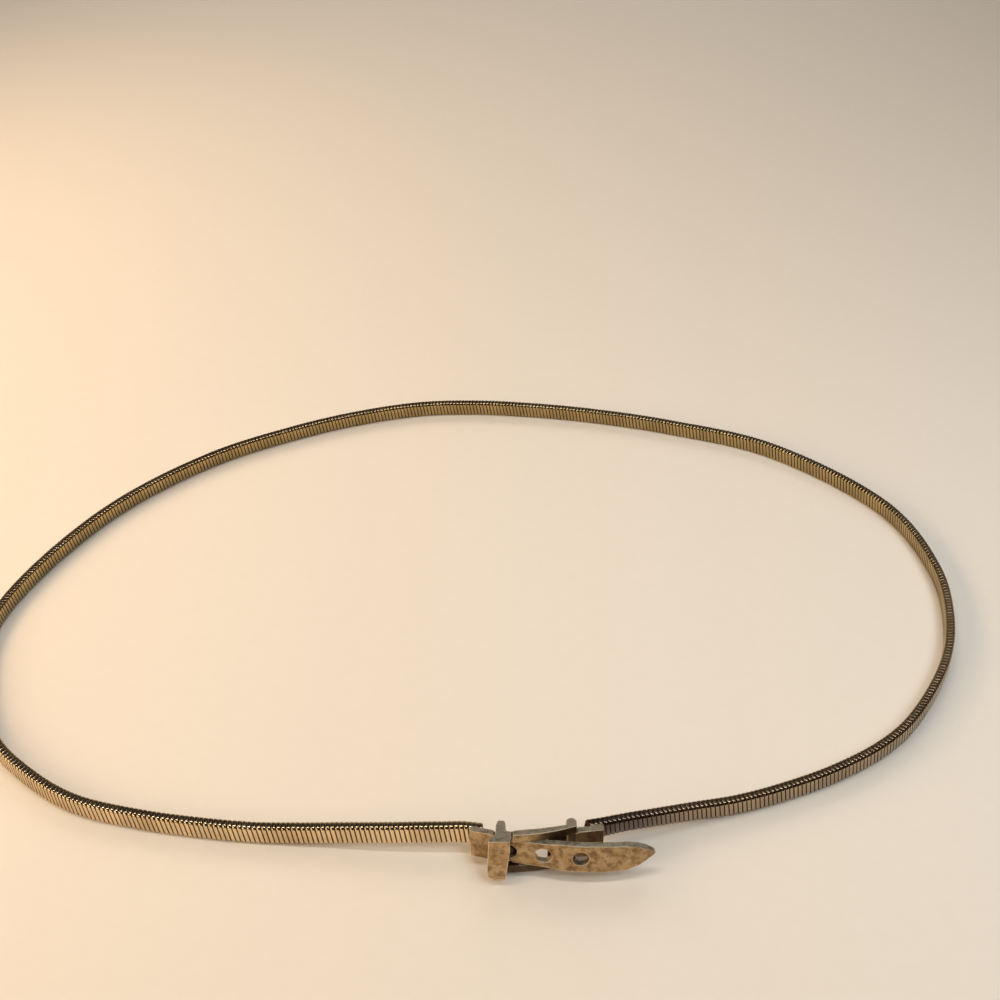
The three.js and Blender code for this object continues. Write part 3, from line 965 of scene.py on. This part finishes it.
@dataclass(frozen=True)
class ClaspGilt:
    """Worn plate: tan gold mottled with brown tarnish, painted grey reflection facing up, pale worn edges
    with painted highlight.
    """

    plate: Colour = (0.48, 0.31, 0.15, 1)
    pale: Colour = (0.60, 0.43, 0.24, 1)
    tarnish: Colour = (0.22, 0.125, 0.055, 1)
    # Painted shade colour, laid where a piece stores its shade share.
    brown: Colour = (0.055, 0.033, 0.02, 1)
    # Painted reflection: greys laid on faces that look up.
    top_sheen: Colour = (0.56, 0.52, 0.42, 1)
    dim_top_sheen: Colour = (0.25, 0.22, 0.15, 1)
    # Pale edge colour: worn plate, and a painted highlight along the bevels.
    rubbed_and_highlit: Colour = (0.85, 0.70, 0.48, 1)
    clouds: Grain = Grain(260, 6, 0.6)
    cloud_span: Span = (0.35, 0.65)
    blotches: Grain = Grain(430, 8, 0.65)
    blotch_span: Span = (0.43, 0.63)
    blotch_most: float = 0.85
    dulling: Grain = Grain(600, 6, 0.7)
    dull_span: Span = (0.46, 0.66)
    facing_up: Span = (0.6, 0.85)
    top_sheen_most: float = 0.9
    sharp_edge: Span = (0.505, 0.54)
    rubbed_and_highlit_most: float = 0.8
    metal: float = 0.8
    scuffs: Grain = Grain(700, 5)
    polish: Span = (0.36, 0.55)
    rubbed_polish: float = 0.12
    pits: Grain = Grain(1500, 5, 0.6)
    pit_depth: float = 0.00005
    pit_strength: float = 0.35
    name: str = "clasp_gilt"

    def material(self) -> bpy.types.Material:
        """Make the material."""
        bench = NodeBench(self.name)
        clouds = bench.span(bench.noise(self.clouds), *self.cloud_span)
        gilt = bench.mix(clouds, self.plate, self.pale)
        blotch = bench.span(bench.noise(self.blotches), *self.blotch_span, 0, self.blotch_most)
        gilt = bench.mix(blotch, gilt, self.tarnish)
        geometry = bench.add("ShaderNodeNewGeometry")
        facing = bench.add("ShaderNodeSeparateXYZ")
        bench.feed(facing.inputs["Vector"], geometry.outputs["Normal"])
        # Painted reflection: faces that look up turn grey, mottled between a lighter and a dimmer grey.
        dulling = bench.span(bench.noise(self.dulling), *self.dull_span)
        grey = bench.mix(dulling, self.top_sheen, self.dim_top_sheen)
        gilt = bench.mix(bench.span(facing.outputs["Z"], *self.facing_up, 0, self.top_sheen_most), gilt, grey)
        # Painted shade: dark brown laid to the right, under the lower rail and beside the keeper, as each
        # piece stores it.
        age = bench.attribute("age")
        gilt = bench.mix(age, gilt, self.brown)
        # Pale sharp edges: worn plate, and a painted highlight along the bevels; none where painted shade
        # lies.
        rubbed_and_highlit = bench.span(geometry.outputs["Pointiness"], *self.sharp_edge, 0, self.rubbed_and_highlit_most)
        rubbed_and_highlit = bench.math("MULTIPLY", rubbed_and_highlit, bench.math("SUBTRACT", 1.0, age))
        bench.set(Base_Color=bench.mix(rubbed_and_highlit, gilt, self.rubbed_and_highlit), Metallic=self.metal)
        rough = bench.span(bench.noise(self.scuffs), *NOISE_SPAN, *self.polish)
        bench.set(Roughness=bench.math("SUBTRACT", rough, bench.math("MULTIPLY", rubbed_and_highlit, self.rubbed_polish)))
        bench.bump(bench.noise(self.pits), self.pit_depth, self.pit_strength)
        return bench.material


@dataclass(frozen=True)
class Paper:
    """Pale smooth paper under the belt."""

    colour: Colour = (0.86, 0.80, 0.72, 1)
    shade: Colour = (0.6, 0.5, 0.42, 1)
    clouds: Grain = Grain(220, 3)
    cloud_most: float = 0.03
    roughness: float = 0.9
    name: str = "pale_paper"

    def material(self) -> bpy.types.Material:
        """Make the material."""
        bench = NodeBench(self.name)
        clouds = bench.span(bench.noise(self.clouds), *NOISE_SPAN, 0.0, self.cloud_most)
        bench.set(Base_Color=bench.mix(clouds, self.colour, self.shade), Roughness=self.roughness)
        return bench.material


@dataclass(frozen=True)
class SoftLight:
    """One soft oblong light, in metres. Its length lies level, and its spread is in degrees."""

    name: str
    place: tuple[float, float, float]
    aim: tuple[float, float, float]
    length: float
    width: float
    power: float
    colour: tuple[float, float, float]
    mirrored: bool = True
    spread: float = 180.0

    def hang(self) -> None:
        """Add the light, turned to its aim."""
        clear_selection()
        bpy.ops.object.light_add(type="AREA", location=self.place)
        lamp = bpy.context.object
        lamp.name = self.name
        lamp.data.shape = "RECTANGLE"
        lamp.data.size = self.length
        lamp.data.size_y = self.width
        lamp.data.spread = math.radians(self.spread)
        lamp.data.energy = self.power
        lamp.data.color = self.colour
        lamp.visible_glossy = self.mirrored
        lamp.rotation_mode = "QUATERNION"
        lamp.rotation_quaternion = (Vector(self.aim) - Vector(self.place)).to_track_quat("-Z", "Y")


@dataclass(frozen=True)
class Studio:
    """Floor, lights and the camera at the photo's angle."""

    eye: tuple[float, float, float] = (7.215, -300.063, 283.1)
    tilt: float = 51.26
    roll: float = 0.446
    lens: float = 44.08
    floor_size: float = 8.0
    lights: tuple[SoftLight, ...] = (
        SoftLight(
            "warm_strip", place=(-0.37, 0.03, 0.29), aim=(-0.02, 0.03, 0), length=0.9, width=0.14, power=1.65,
            colour=(1.0, 0.68, 0.38), mirrored=False),
        SoftLight(
            "front_glow", place=(-0.68, -0.42, 0.32), aim=(-0.05, -0.05, 0), length=1.0, width=0.3, power=2.3,
            colour=(1.0, 0.82, 0.56)),
        SoftLight(
            "ceiling_strip", place=(0.0, 0.0, 1.05), aim=(0, 0, 0), length=1.2, width=0.1, power=3.6,
            colour=(1.0, 0.96, 0.9)),
        SoftLight(
            "cool_near", place=(0.36, -0.35, 0.65), aim=(0.2, -0.06, 0), length=0.35, width=0.35, power=0.36,
            colour=(0.84, 0.94, 1.0), mirrored=False, spread=70.0),
        SoftLight(
            "far_fill", place=(0.1, 1.3, 0.9), aim=(0, 0.6, 0), length=1.0, width=1.0, power=1.6,
            colour=(1.0, 0.94, 0.86), mirrored=False, spread=75.0),
    )
    room: Colour = (0.02, 0.016, 0.014, 1)
    sweep: Colour = (0.29, 0.26, 0.22, 1)
    panel: Colour = (0.34, 0.33, 0.31, 1)
    behind: Span = (0.0, 0.4)
    sweep_top: Span = (0.3, 0.45)
    panel_low: Span = (0.68, 0.76)
    panel_high: Span = (0.86, 0.93)
    panel_left: Span = (-0.2, 0.12)
    sensor: float = 36.0
    nearest: float = 0.01

    def set_camera(self) -> None:
        """Add the camera and make it the scene's own."""
        clear_selection()
        bpy.ops.object.camera_add()
        camera = bpy.context.object
        camera.name = "photo_camera"
        camera.data.lens = self.lens
        camera.data.sensor_width = self.sensor
        camera.data.clip_start = self.nearest
        tilt = Matrix.Rotation(math.radians(self.tilt), 4, "X")
        roll = Matrix.Rotation(math.radians(self.roll), 4, "Z")
        camera.matrix_world = Matrix.Translation(Vector(self.eye) * MM) @ (tilt @ roll)
        bpy.context.scene.camera = camera

    def lay_floor(self) -> None:
        """Lay the pale paper."""
        clear_selection()
        bpy.ops.mesh.primitive_plane_add(size=self.floor_size)
        floor = bpy.context.object
        floor.name = "paper_floor"
        floor.data.materials.append(Paper().material())

    def light(self) -> None:
        """Hang the lights, paint the room and choose the plain view."""
        for lamp in self.lights:
            lamp.hang()
        world = bpy.data.worlds.new("soft_air")
        world.use_nodes = True
        self._paint_room(world.node_tree)
        bpy.context.scene.world = world
        bpy.context.scene.view_settings.view_transform = "Standard"

    def _paint_room(self, tree: bpy.types.NodeTree) -> None:
        """Paint a dim room, the paper's sweep low behind the belt and a soft panel high behind its right."""
        board = NodeBoard(tree)
        way = board.add("ShaderNodeSeparateXYZ")
        board.feed(way.inputs["Vector"], board.add("ShaderNodeTexCoord").outputs["Generated"])
        x, y, z = (way.outputs[axis] for axis in "XYZ")
        behind = board.span(y, *self.behind)
        low = board.math("MULTIPLY", board.span(z, *self.sweep_top, 1.0, 0.0), behind)
        above = board.span(z, *self.panel_low)
        below = board.span(z, *self.panel_high, 1.0, 0.0)
        level = board.math("MULTIPLY", above, below)
        high = board.math("MULTIPLY", board.math("MULTIPLY", level, behind), board.span(x, *self.panel_left))
        colour = board.mix(low, self.room, self.sweep)
        colour = board.mix(high, colour, self.panel)
        board.feed(tree.nodes["Background"].inputs["Color"], colour)


@dataclass(frozen=True)
class PaintedShade:
    """Where painted shade darkens a clasp piece, in the clasp's own millimetres."""

    start: float = 60.0
    end: float = 70.0
    under: float = -20.0
    left_of: float = -20.0
    half: float = 4.0
    most: float = 0.0
    fade: float = 0.3
    sideways: Span = (1 / 3, 2 / 3)

    def paint(self, piece: bpy.types.Object) -> None:
        """Store how much painted shade each place gets.

        Sides turn to painted brown shade from start to end, and so does all under a height, as far as the
        most.
        What lies left of a place near the middle height gets the full painted shade.
        """
        places = vertex_places(piece)
        upward = np.array([vertex.normal.z for vertex in piece.data.vertices])
        along = np.clip((places[:, 0] - self.start) / (self.end - self.start), 0, 1)
        along *= np.interp(upward, self.sideways, (1, 0))
        under = np.clip((self.under - places[:, 2]) / self.fade, 0, 1)
        stud = np.clip(self.left_of - places[:, 0], 0, 1) * (np.abs(places[:, 2]) < self.half)
        store_values(piece, "age", np.maximum(self.most * np.maximum(along, under), stud))


def hand_over(piece: bpy.types.Object, material: bpy.types.Material, node: str) -> None:
    """Dress a piece and let it stand for its node.

    Args:
        piece: the finished piece.
        material: its material.
        node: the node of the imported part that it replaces.
    """
    piece.data.materials.clear()
    piece.data.materials.append(material)
    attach(piece, BODY)
    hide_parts(node)
    LOG.info("%s stands for %s", piece.name, node)


def corners(box: tuple[Vector, Vector]) -> list[list[float]]:
    """A box's corners as plain lists."""
    return [list(corner) for corner in box]


def main() -> None:
    """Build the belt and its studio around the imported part."""
    logging.basicConfig(level=logging.INFO, format="%(message)s")
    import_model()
    studio = Studio()
    studio.set_camera()
    frame = BuckleFrame()
    seat = ClaspSeat()
    seat.shift = frame.shift_in(seat)
    coil = CoilBand().build(seat.shift)
    hand_over(coil, CoilGilt().material(), "coil_band")
    clasp_gilt = ClaspGilt().material()
    surface = WornSurface()
    # Painted shade darkens the frame and the end plate: to the right, under the lower rail and beside the
    # keeper.
    for maker, node, painted_shade in (
            (StrapTongue(), "strap_tongue", PaintedShade()), (KeeperLoop(), "keeper_loop", PaintedShade()),
            (frame, "buckle_frame", PaintedShade(start=14, end=20, under=-3.8, left_of=12.5, most=0.9)),
            (EndPlate(), "right_end_plate", PaintedShade(start=24, end=27, most=0.55))):
        piece = maker.build()
        surface.wear(piece)
        painted_shade.paint(piece)
        seat.settle(piece)
        hand_over(piece, clasp_gilt, node)
    studio.lay_floor()
    studio.light()


if __name__ == "__main__":
    main()
